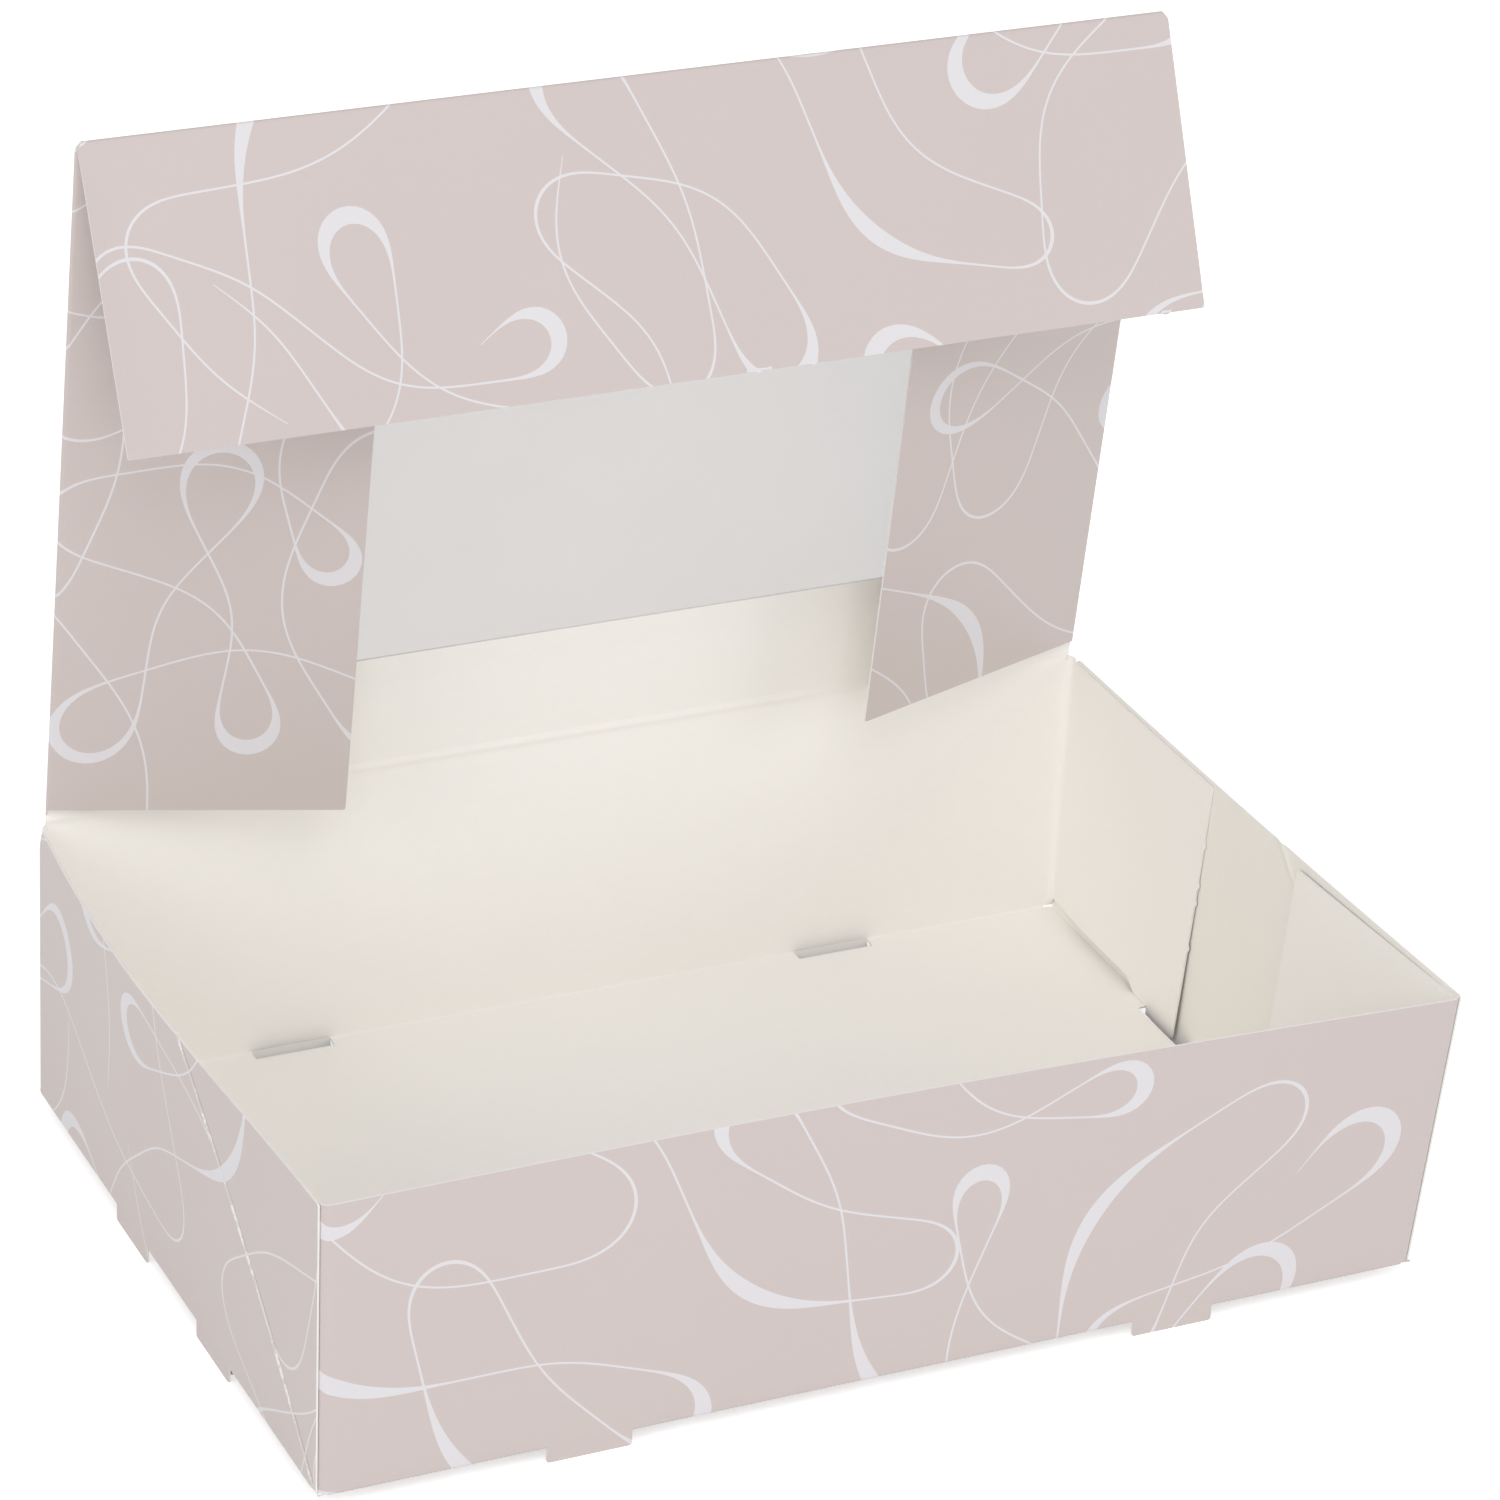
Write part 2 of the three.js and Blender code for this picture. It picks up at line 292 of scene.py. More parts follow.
def scroll_print(seed):
    """Long looping lines over the whole blank: each next stroke goes where there is most room."""
    chance = random.Random(seed)
    taken = {}
    quads = []
    pen, line = None, []
    for _ in range(STROKE_COUNT):
        pen = pen or (*barest_place(chance, taken), chance.uniform(0, 2 * math.pi))
        tries = []
        for bends in PEN_STROKES:
            for flip in (1, -1):
                size = chance.choice(STROKE_SIZES)
                stroke, end = pen_line(pen, [(length * size, turn * flip, pressure)
                                             for length, turn, pressure in bends])
                tries.append((crowding(stroke, end, taken) + chance.uniform(0, CHANCE_COST), stroke, end))
        cost, stroke, end = min(tries, key=lambda found: found[0])
        if line and cost > CROWDED:
            quads.extend(line_quads(line))
            pen, line = None, []
            continue
        pen = end
        line = line + stroke
        for point in stroke:
            for square in squares_near(point, 2 if point[3] > BROAD_LINE else 1):
                taken[square] = taken.get(square, 0.0) + PEN_MARK * (MARK_BASE + point[3])
    return quads + line_quads(line)


print_quads = scroll_print(PRINT_SEED)


def spans(points):
    """Lowest and highest u, and lowest and highest v, of some points."""
    return [(min(p[axis] for p in points), max(p[axis] for p in points)) for axis in (0, 1)]


def print_over(outline, offset):
    """The print's pieces that reach into an outline, whose own (0, 0) is at offset on the print."""
    (left, right), (top, bottom) = spans(outline)
    found = []
    for quad in print_quads:
        moved = [(p.x - offset[0], offset[1] - p.y) for p in quad]
        (quad_left, quad_right), (quad_top, quad_bottom) = spans(moved)
        if quad_right > left and quad_left < right and quad_bottom > top and quad_top < bottom:
            found.append(moved)
    return found


# Flat pieces

def rounded(corners):
    """Outline through corners (u, v) or (u, v, radius), the latter rounded."""
    outline = []
    for k, corner in enumerate(corners):
        here = Vector(corner[:2])
        radius = corner[2] if len(corner) > 2 else 0.0
        if not radius:
            outline.append(tuple(here))
            continue
        before = (Vector(corners[k - 1][:2]) - here).normalized() * radius
        after = (Vector(corners[(k + 1) % len(corners)][:2]) - here).normalized() * radius
        for step in range(ROUND_STEPS + 1):
            t = step / ROUND_STEPS
            outline.append(tuple(here + before * (1 - t) ** 2 + after * t ** 2))
    return outline


def mirrored(half):
    """A closed outline from its right half, listed from the top middle to the bottom middle."""
    return half + [(-corner[0],) + tuple(corner[1:]) for corner in reversed(half)]


def stub(middle, size):
    """Places along and out from an edge of a stub that the die left there."""
    foot_half, top_half, height = size
    return [(middle - foot_half, 0.0), (middle - top_half, height),
            (middle + top_half, height), (middle + foot_half, 0.0)]


def counterclockwise(polygon):
    area = sum(a[0] * b[1] - b[0] * a[1] for a, b in zip(polygon, polygon[1:] + polygon[:1]))
    return polygon if area > 0 else polygon[::-1]


def grid_lines(outline):
    """Straight lines across the outline in both directions, so that the board can bow."""
    (left, right), (top, bottom) = spans(outline)

    def steps(low, high):
        count = math.ceil((high - low) / GRID)
        return [low + k * (high - low) / count for k in range(1, count)]

    return (upright_lines(steps(left, right), top - PAST_EDGE, bottom + PAST_EDGE)
            + across_lines(steps(top, bottom), left - PAST_EDGE, right + PAST_EDGE))


def across_lines(values, low, high):
    return [[(low, v), (high, v)] for v in values]


def upright_lines(values, low, high):
    return [[(u, low), (u, high)] for u in values]


def cut_flat(outline, holes, lines, strokes):
    """Points and triangles of a flat piece, each triangle with whether the print's line covers it."""
    points, edges, faces = [], [], []
    for polygon in [outline, *holes, *strokes]:
        ring = counterclockwise([tuple(p) for p in polygon])
        faces.append(list(range(len(points), len(points) + len(ring))))
        points.extend(Vector(p) for p in ring)
    for line in lines:
        edges.extend((len(points) + k, len(points) + k + 1) for k in range(len(line) - 1))
        points.extend(Vector(p) for p in line)
    flat, _, triangles, _, _, owners = delaunay_2d_cdt(points, edges, faces, 0, JOIN_WITHIN, True)
    first_stroke = 1 + len(holes)
    kept = []
    for triangle, owner in zip(triangles, owners):
        if 0 in owner and not any(0 < face < first_stroke for face in owner):
            kept.append((triangle, any(face >= first_stroke for face in owner)))
    return flat, kept


class FoldedLine:
    """A board's middle line across its folds, walked by its length."""

    def __init__(self, start, heading, steps):
        self.parts = []
        self.fold_lines = []
        point, angle, walked = Vector(start), math.radians(heading), 0.0
        for run, turn, radius in steps:
            length = run if turn == 0 else abs(math.radians(turn)) * radius
            curvature = 0.0 if turn == 0 else math.copysign(1 / radius, turn)
            self.parts.append((walked, point, angle, curvature))
            if turn:
                strips = max(FEWEST_STRIPS, round(abs(turn) / 90 * FOLD_STRIPS))
                self.fold_lines.extend(walked + length * k / strips for k in range(strips + 1))
            point, left = self.walk(self.parts[-1], length)
            angle += curvature * length
            walked += length
        self.length = walked

    @staticmethod
    def walk(part, distance):
        _, point, angle, curvature = part
        turned = angle + curvature * distance
        if curvature:
            chord = Vector((math.sin(turned) - math.sin(angle), math.cos(angle) - math.cos(turned)))
            step = chord / curvature
        else:
            step = Vector((math.cos(angle), math.sin(angle))) * distance
        return point + step, Vector((-math.sin(turned), math.cos(turned)))

    def at(self, distance):
        """Point and direction to the left at a distance along the line."""
        part = self.parts[0]
        for candidate in self.parts[1:]:
            if distance >= candidate[0]:
                part = candidate
        return self.walk(part, distance - part[0])


def run(length):
    return (length, 0, 0)


def fold(degrees, radius=FOLD_RADIUS):
    return (0, degrees, radius)


# Folded pieces

class Board:
    """Cut and folded board: printed skin, plain skin and cut edges, in one mesh."""

    # The last finish is the side walls' inside, a cream darkened as painted shade
    GROUND, LINE, INSIDE, EDGE, RECESSED = range(5)
    TRIANGLES_TRIED = 400

    def __init__(self):
        self.points, self.faces, self.finishes, self.sharp = [], [], [], set()
        self.marks = []

    def add(self, outline, place, shape=None, holes=(), lines=(), print_at=None, strokes=(), thickness=BOARD,
            all_edge_finish=False, mark=None, inside=INSIDE):
        """Cut a flat piece and fold it: place gives a point's middle and normal, shape then bends it."""
        if print_at:
            strokes = [*strokes, *print_over(outline, print_at)]
        flat, triangles = cut_flat(outline, holes, [*lines, *grid_lines(outline)], strokes)
        used = sorted({index for triangle, _ in triangles for index in triangle})
        count = len(used)
        first = len(self.points)
        number = {index: first + k for k, index in enumerate(used)}
        middles, normals = zip(*(place(flat[index].x, flat[index].y) for index in used))
        for side in (0.5, -0.5):
            for middle, normal in zip(middles, normals):
                point = middle + normal * side * thickness
                self.points.append(shape(point) if shape else point)
            self.marks.extend(mark(flat[index].x, flat[index].y) if mark else UNMARKED for index in used)
        turned = self.faces_away(triangles, number, normals, first)
        directed = set()
        for triangle, inked in triangles:
            a, b, c = (number[index] for index in triangle)
            if turned:
                a, c = c, a
            directed.update([(a, b), (b, c), (c, a)])
            outside = self.LINE if inked else self.GROUND
            self.face((a, b, c), self.EDGE if all_edge_finish else outside)
            self.face((c + count, b + count, a + count), self.EDGE if all_edge_finish else inside)
        for a, b in sorted(directed):
            if (b, a) not in directed:
                self.face((b, a, a + count, b + count), self.EDGE)
                self.sharp.update([frozenset((a, b)), frozenset((a + count, b + count))])

    def faces_away(self, triangles, number, normals, first):
        """Whether the triangles run the other way round than the printed side needs."""
        total = 0.0
        for triangle, _ in triangles[:self.TRIANGLES_TRIED]:
            a, b, c = (self.points[number[index]] for index in triangle)
            total += (b - a).cross(c - a).dot(normals[number[triangle[0]] - first])
        return total < 0

    def face(self, corners, finish):
        self.faces.append(corners)
        self.finishes.append(finish)

    def build(self, name, finishes):
        mesh = bpy.data.meshes.new(name)
        mesh.from_pydata([tuple(p * MM) for p in self.points], [], self.faces)
        for finish in finishes:
            mesh.materials.append(finish)
        mesh.polygons.foreach_set("material_index", self.finishes)
        mesh.shade_smooth()
        sharp = mesh.attributes.new("sharp_edge", "BOOLEAN", "EDGE")
        sharp.data.foreach_set("value", [frozenset(edge.vertices) in self.sharp for edge in mesh.edges])
        mark = mesh.attributes.new("off_crease", "FLOAT", "POINT")
        mark.data.foreach_set("value", self.marks)
        piece = bpy.data.objects.new(name, mesh)
        bpy.context.scene.collection.objects.link(piece)
        return piece


# Finishes

# A Mix node's sockets for colours
MIX_FIRST, MIX_SECOND, MIX_COLOUR = 6, 7, 2


class Value:
    """A number in a material, for use in expressions."""

    def __init__(self, finish, socket):
        self.finish, self.socket = finish, socket

    def math(self, operation, *values, clamp=False):
        node = self.finish.node("ShaderNodeMath", {"operation": operation, "use_clamp": clamp},
                                dict(enumerate(values)))
        return Value(self.finish, node.outputs[0])

    def __add__(self, other):
        return self.math("ADD", self, other)

    __radd__ = __add__

    def __sub__(self, other):
        return self.math("SUBTRACT", self, other)

    def __rsub__(self, other):
        return self.math("SUBTRACT", other, self)

    def __mul__(self, other):
        return self.math("MULTIPLY", self, other)

    __rmul__ = __mul__

    def __abs__(self):
        return self.math("ABSOLUTE", self)

    def clamped(self):
        return self.math("ADD", self, 0.0, clamp=True)

    def between(self, low, high):
        """0 at low, 1 at high, smooth in between."""
        node = self.finish.node("ShaderNodeMapRange", {"interpolation_type": "SMOOTHSTEP"},
                                {"Value": self, "From Min": low, "From Max": high})
        return Value(self.finish, node.outputs[0])


class Finish:
    """A material and its nodes."""

    def __init__(self, name):
        self.material = bpy.data.materials.new(name)
        self.material.use_nodes = True
        self.tree = self.material.node_tree
        self.tree.nodes.clear()
        self.place = self.node("ShaderNodeTexCoord").outputs["Object"]

    def node(self, kind, settings=None, sockets=None):
        node = self.tree.nodes.new(kind)
        for key, value in (settings or {}).items():
            setattr(node, key, value)
        for key, value in (sockets or {}).items():
            source = value.socket if isinstance(value, Value) else value
            if isinstance(source, bpy.types.NodeSocket):
                self.tree.links.new(source, node.inputs[key])
            else:
                node.inputs[key].default_value = source
        return node

    def noise(self, scale, detail=2.0, roughness=0.5, stretch=(1.0, 1.0, 1.0)):
        """Noise around 0, from about -0.5 to 0.5, with scale in features per metre."""
        spread = self.node("ShaderNodeMapping", None, {"Vector": self.place, "Scale": stretch})
        texture = self.node("ShaderNodeTexNoise", None, {
            "Vector": spread.outputs[0], "Scale": scale, "Detail": detail, "Roughness": roughness})
        return Value(self, texture.outputs["Fac"]) - 0.5

    def axes(self):
        split = self.node("ShaderNodeSeparateXYZ", None, {"Vector": self.place})
        return [Value(self, socket) for socket in split.outputs]

    def mixed(self, share, first, second):
        """A colour, first where the share is 0 and second where it is 1."""
        node = self.node("ShaderNodeMix", {"data_type": "RGBA"},
                         {"Factor": share, MIX_FIRST: first, MIX_SECOND: second})
        return node.outputs[MIX_COLOUR]

    def bump(self, height, strength, distance):
        node = self.node("ShaderNodeBump", None, {
            "Height": height, "Strength": strength, "Distance": distance})
        return node.outputs[0]

    def finish(self, shader):
        self.node("ShaderNodeOutputMaterial", None, {"Surface": shader})
        return self.material


def colour(red, green, blue):
    """A colour as it looks on screen, 0 to 255, in the renderer's linear numbers."""
    def linear(value):
        share = value / 255
        return share / 12.92 if share <= 0.04045 else ((share + 0.055) / 1.055) ** 2.4
    return (linear(red), linear(green), linear(blue), 1.0)


def scaled(rgba, factor):
    return tuple(channel * factor for channel in rgba[:3]) + (1.0,)


BLACK = (0.0, 0.0, 0.0, 1.0)
WHITE = (1.0, 1.0, 1.0, 1.0)
GREIGE = colour(202, 191, 188)
LINE_WHITE = colour(220, 217, 221)
CREAM = colour(247, 244, 239)
# Painted shade: a darker cream for the side walls' inside, for the shade on the wall between the glue flaps
RECESSED_CREAM = colour(242, 239, 231)
CORE_WHITE = colour(240, 238, 236)
# Painted shadow: the brown of the shade inside a pressed crease
CREASE_SHADE = colour(150, 124, 112)
RUBBED_PRINT = colour(228, 224, 220)
PANE_TINT = colour(127, 111, 102)
BORDER_TINT = colour(225, 222, 220)

# Lines beside a crease, worn print and a painted shadow line: middle and half width in millimetres, and how
# much of a line is at full strength
SHADE_LINE = (-0.95, 1.1)
RUBBED_LINE = (0.25, 0.95)
CRACK_LINE = (0.0, 1.2)
LINE_CORE = 0.45


def line_mask(off, middle, half):
    """1 on a line beside a crease, its middle and half width in millimetres."""
    return 1 - abs(off - middle).between(half * LINE_CORE, half)


def coated_board(name, base, crease_wear_and_shade):
    """Printed and varnished outside of the board; on creases, worn print and a painted shadow line."""
    finish = Finish(name)
    mottle = finish.noise(scale=1400.0, detail=3.0, roughness=0.6)
    cloud = finish.noise(scale=18.0)
    tone = (mottle * 0.5 + cloud * 0.35 + 0.5).clamped()
    surface = finish.mixed(tone, scaled(base, 0.975), scaled(base, 1.025))
    if crease_wear_and_shade:
        crease = finish.node("ShaderNodeAttribute", {"attribute_name": "off_crease"})
        off = Value(finish, crease.outputs["Fac"])
        patches = finish.noise(scale=38.0, roughness=0.6)
        cracks = finish.noise(scale=420.0, detail=4.0, roughness=0.7)
        # Painted shadow: the shade line darkens the print beside the crease; the pale line and the white
        # cracks are worn print
        shade = line_mask(off, *SHADE_LINE) * (patches + 0.5).between(0.26, 0.46)
        pale = line_mask(off, *RUBBED_LINE) * (cracks * 0.5 + 0.75)
        crack = line_mask(off, *CRACK_LINE) * (cracks - patches * 0.9).between(0.05, 0.13)
        surface = finish.mixed(shade * 0.72, surface, CREASE_SHADE)
        surface = finish.mixed(pale * 0.55, surface, RUBBED_PRINT)
        surface = finish.mixed(crack * 0.95, surface, CORE_WHITE)
    height = finish.noise(scale=2600.0) * 0.6 + finish.noise(scale=420.0) * 0.4
    shader = finish.node("ShaderNodeBsdfPrincipled", None, {
        "Base Color": surface,
        "Roughness": cloud * 0.10 + mottle * 0.06 + 0.46,
        "Specular IOR Level": 0.35,
        "Coat Weight": 0.08,
        "Coat Roughness": 0.25,
        "Normal": finish.bump(height, strength=0.10, distance=0.00006),
    })
    return finish.finish(shader.outputs[0])


def plain_board(name, base):
    """Uncoated inside of the board, with a faint grain of its fibres."""
    finish = Finish(name)
    grain = finish.noise(scale=900.0, detail=4.0, roughness=0.65, stretch=(0.35, 1.0, 1.0))
    cloud = finish.noise(scale=14.0)
    tone = (grain * 0.6 + cloud * 0.3 + 0.5).clamped()
    shader = finish.node("ShaderNodeBsdfPrincipled", None, {
        "Base Color": finish.mixed(tone, scaled(base, 0.97), scaled(base, 1.03)),
        "Roughness": grain * 0.08 + 0.72,
        "Normal": finish.bump(grain, strength=0.16, distance=0.00008),
    })
    return finish.finish(shader.outputs[0])


def cut_edge_board(name, base):
    """The board's bare core, in thin layers."""
    finish = Finish(name)
    layers = finish.noise(scale=5200.0, detail=3.0, roughness=0.7)
    shader = finish.node("ShaderNodeBsdfPrincipled", None, {
        "Base Color": finish.mixed((layers + 0.5).clamped(), scaled(base, 0.93), scaled(base, 1.03)),
        "Roughness": 0.9,
        "Normal": finish.bump(layers, strength=0.25, distance=0.00008),
    })
    return finish.finish(shader.outputs[0])


def clear_sheet(name, tint, cover):
    """Clear film: cover is how much of what lies behind it the film hides."""
    finish = Finish(name)
    ripple = finish.noise(scale=26.0, detail=1.0)
    shader = finish.node("ShaderNodeBsdfPrincipled", None, {
        "Base Color": finish.mixed((ripple + 0.5).clamped(), scaled(tint, 0.985), scaled(tint, 1.015)),
        "Roughness": ripple * 0.04 + 0.10,
        "Alpha": (ripple * 0.08 + 1.0) * cover,
        "Normal": finish.bump(ripple, strength=0.12, distance=0.0003),
    })
    return finish.finish(shader.outputs[0])


board_finishes = [
    coated_board("greige_print", GREIGE, crease_wear_and_shade=True),
    coated_board("white_scroll_print", LINE_WHITE, crease_wear_and_shade=False),
    plain_board("cream_inside", CREAM),
    cut_edge_board("cut_edge", CORE_WHITE),
    # Painted shade: the darker cream of the side walls' inside
    plain_board("cream_painted_shade", RECESSED_CREAM),
]
film_pane = clear_sheet("film_pane", PANE_TINT, cover=0.48)
film_clear = clear_sheet("film_clear", BORDER_TINT, cover=0.002)


# Camera, floor and light: places and sizes in metres

GROUND_REACH = 6.0
GROUND_GREY = (0.88, 0.88, 0.88, 1.0)
GROUND_GLOW = 0.5
STUDIO_LEVEL = 0.60
LIGHT_AIM = Vector((0.0, 0.0, 0.08))
SOFTBOX_SIZE = 1.5
SOFTBOXES = [
    ("high_front_softbox", (-0.5, -1.7, 2.4), 15.5),
    ("low_front_softbox", (-0.9, -2.7, 0.8), 12.0),
    ("left_softbox", (-2.5, -1.0, 1.4), 16.5),
    ("right_softbox", (2.4, -1.6, 0.9), 15.0),
]


def white_floor():
    """Near-white ground that keeps the box's soft shadow."""
    finish = Finish("white_ground")
    path = finish.node("ShaderNodeLightPath")
    camera, glossy, through = (Value(finish, path.outputs[f"Is {kind} Ray"])
                               for kind in ("Camera", "Glossy", "Transmission"))
    shader = finish.node("ShaderNodeBsdfPrincipled", None, {
        "Base Color": GROUND_GREY,
        "Roughness": 0.9,
        "Emission Color": finish.mixed((camera + glossy + through).clamped(), BLACK, WHITE),
        "Emission Strength": GROUND_GLOW,
    })
    material = finish.finish(shader.outputs[0])
    mesh = bpy.data.meshes.new("ground")
    corners = [(x * GROUND_REACH, y * GROUND_REACH, 0.0) for x, y in ((-1, -1), (1, -1), (1, 1), (-1, 1))]
    mesh.from_pydata(corners, [], [(0, 1, 2, 3)])
    mesh.materials.append(material)
    floor = bpy.data.objects.new("ground", mesh)
    bpy.context.scene.collection.objects.link(floor)


def studio_world(strength):
    world = bpy.data.worlds.new("studio")
    bpy.context.scene.world = world
    world.use_nodes = True
    background = world.node_tree.nodes["Background"]
    background.inputs["Color"].default_value = WHITE
    background.inputs["Strength"].default_value = strength


def soft_light(name, position, watts):
    lamp = bpy.data.lights.new(name, "AREA")
    lamp.shape = "SQUARE"
    lamp.size = SOFTBOX_SIZE
    lamp.energy = watts
    holder = bpy.data.objects.new(name, lamp)
    holder.location = position
    holder.rotation_euler = (LIGHT_AIM - Vector(position)).to_track_quat("-Z", "Y").to_euler()
    bpy.context.scene.collection.objects.link(holder)


# The camera's angles in degrees, and its place from the tray's middle in millimetres
CAMERA_AZIMUTH = 26.482
CAMERA_ELEVATION = 27.458
CAMERA_ROLL = 3.329
CAMERA_DISTANCE = 1581.0
CAMERA_RIGHT = 6.7
CAMERA_UP = 75.4
FOCAL_PIXELS = 6168.0
PHOTO_PIXELS = 1500.0
SENSOR = 36.0
CAMERA_SEES_TO = 100.0


def photo_camera():
    """The photograph's view: the box's front left corner is nearest, and the camera is tipped a little."""
    azimuth, elevation, roll = map(math.radians, (CAMERA_AZIMUTH, CAMERA_ELEVATION, CAMERA_ROLL))
    forward = Vector((math.sin(azimuth) * math.cos(elevation), math.cos(azimuth) * math.cos(elevation),
                      -math.sin(elevation)))
    level = Vector((math.cos(azimuth), -math.sin(azimuth), 0.0))
    over = level.cross(forward)
    right = level * math.cos(roll) + over * math.sin(roll)
    up = over * math.cos(roll) - level * math.sin(roll)
    middle = Vector((0.0, 0.0, (FOOT_HEIGHT + WALL_TOP) / 2))
    place = middle + right * CAMERA_RIGHT + up * CAMERA_UP - forward * CAMERA_DISTANCE
    camera = bpy.data.cameras.new("photo_camera")
    camera.sensor_width = SENSOR
    camera.lens = SENSOR * FOCAL_PIXELS / PHOTO_PIXELS
    camera.clip_end = CAMERA_SEES_TO
    holder = bpy.data.objects.new("photo_camera", camera)
    turn = Matrix((right, up, -forward)).transposed().to_4x4()
    holder.matrix_world = Matrix.Translation(place * MM) @ turn
    bpy.context.scene.collection.objects.link(holder)
    bpy.context.scene.camera = holder


photo_camera()


# Tray

END_PLAN_STRAIGHT = HALF_WIDTH - BOARD - CORNER_REACH
end_plan = FoldedLine((-HALF_WIDTH + 1.5 * BOARD, -HALF_DEPTH + LONGEST_FLAP), -90, [
    run(LONGEST_FLAP - CORNER_REACH), fold(90, CORNER_RADIUS), run(2 * END_PLAN_STRAIGHT),
    fold(90, CORNER_RADIUS), run(LONGEST_FLAP - CORNER_REACH)])
END_PLAN_MIDDLE = end_plan.length / 2
FLAP_FOLD_END = END_PLAN_STRAIGHT + CORNER_RADIUS * math.pi / 2
long_profile = FoldedLine((-HALF_DEPTH + HALF_BOARD, WALL_TOP), -90, [
    run(WALL_RUN), fold(90), run(2 * (HALF_DEPTH - FOLD_REACH)), fold(90), run(WALL_RUN)])
side_profile = FoldedLine((-HALF_WIDTH + HALF_BOARD, WALL_TOP), -90, [run(WALL_RUN), fold(90)])


def tray_flare(point):
    """The walls' lean and bow, which grow from the bottom creases to the top edge."""
    rise = max(0.0, (point.z - WALL_FOOT) / WALL_RUN)
    across = (point.x + HALF_WIDTH) / (2 * HALF_WIDTH)
    back = min(1.0, max(0.0, (point.y + HALF_DEPTH) / (2 * HALF_DEPTH)))
    shift = (FRONT_LEFT_SHIFT.lerp(FRONT_RIGHT_SHIFT, across)) * (1 - back)
    left = -LEFT_BULGE * math.sin(math.pi * back ** LEFT_BULGE_SKEW) * (1 - across)
    right = RIGHT_BULGE * math.sin(math.pi * back) * across
    front = FRONT_BOW * math.sin(math.pi * min(1.0, max(0.0, across))) * (1 - back)
    return point + Vector((shift.x + left + right, shift.y + front, 0.0)) * rise


def end_wall(end, stand_off):
    """Placing of the front (end -1) or back (end 1) wall with its glue flaps: u across, v down."""
    def place(u, v):
        point, left = end_plan.at(u + END_PLAN_MIDDLE)
        z = WALL_TOP - v
        rise = max(0.0, (z - WALL_FOOT) / WALL_RUN)
        side = math.copysign(1, u)
        whole, top, foot = stand_off[side]
        beyond = max(0.0, abs(u) - FLAP_FOLD_END)
        inward = top * beyond / TOP_STAND_OFF_REACH * rise ** 4
        inward += (whole + foot * (1 - rise) ** 2) * min(1.0, beyond / STAND_OFF_REACH)
        return Vector((point.x - side * inward, -end * point.y, z)), Vector((-left.x, end * left.y, 0.0))
    return place


front_wall = end_wall(-1, FRONT_STAND_OFF)
back_wall = end_wall(1, BACK_STAND_OFF)


def long_sheet(u, v):
    """Placing of the front wall, bottom and back wall: u across, v from the front's top to the back's."""
    on_glue_flap = abs(u) > FLAP_FOLD_END
    if v <= WALL_RUN or (on_glue_flap and v < long_profile.length / 2):
        return front_wall(u, v)
    if v >= long_profile.length - WALL_RUN or on_glue_flap:
        return back_wall(u, long_profile.length - v)
    point, left = long_profile.at(v)
    return Vector((u, point.x, point.y)), Vector((0.0, -left.x, -left.y))


def place_slot_light(u, v):
    """Placing of a slot's painted light strip, which is a little thinner than the bottom and level with its
    inside.
    """
    middle, normal = long_sheet(u, v)
    return middle - normal * SLOT_LIGHT_SET_DOWN, normal


def glue_flap_half(flap, nicks=()):
    """Right half of an end wall's outline, from the middle of its top edge down to its bottom crease."""
    reach = FLAP_FOLD_END - CORNER_REACH
    start_drop, drop = flap["drop"]
    low = WALL_RUN + FOLD_REACH - BOARD - GLUE_FLAP_GAP
    top = reach + flap["top"]
    corners = [(FLAP_FOLD_END, 0.0), (FLAP_FOLD_END + CREASE_STEP, start_drop), (top, drop, CORNER_ROUND)]
    slant = (flap["bottom"] - flap["top"]) / (low - drop)
    for down in nicks:
        edge = top + slant * (down - drop)
        corners += [(edge + out, along) for along, out in stub(down, GLUE_FLAP_STUB)]
    corners += [
        (reach + flap["bottom"], low + GLUE_FLAP_DIP, CORNER_ROUND),
        (reach + flap["dip"], low + GLUE_FLAP_DIP),
        (reach + flap["dip"], low),
        (reach + flap["relief"] + RELIEF_HEIGHT, low, CORNER_ROUND),
        (reach + flap["relief"], low - RELIEF_HEIGHT, CORNER_ROUND),
        *((FLAP_FOLD_END + across, low - RELIEF_HEIGHT + down) for across, down in RELIEF_TIP),
        (FLAP_FOLD_END + RELIEF_FOOT[0], WALL_RUN + RELIEF_FOOT[1]),
        (END_PLAN_STRAIGHT, WALL_RUN),
    ]
    return rounded(corners + [(0.0, WALL_RUN), (0.0, 0.0)])[:-2]


def foot_spans(half_length, first, pitch):
    """Where a wall's two feet start and end along it."""
    middles = [-half_length + first + step * pitch for step in (0, 1)]
    return [(middle - FOOT_WIDTH / 2, middle + FOOT_WIDTH / 2) for middle in middles]


LONG_FEET = foot_spans(HALF_WIDTH, LONG_FOOT_FIRST, LONG_FOOT_PITCH)
SIDE_FEET = foot_spans(HALF_DEPTH, SIDE_FOOT_FIRST, SIDE_FOOT_PITCH)


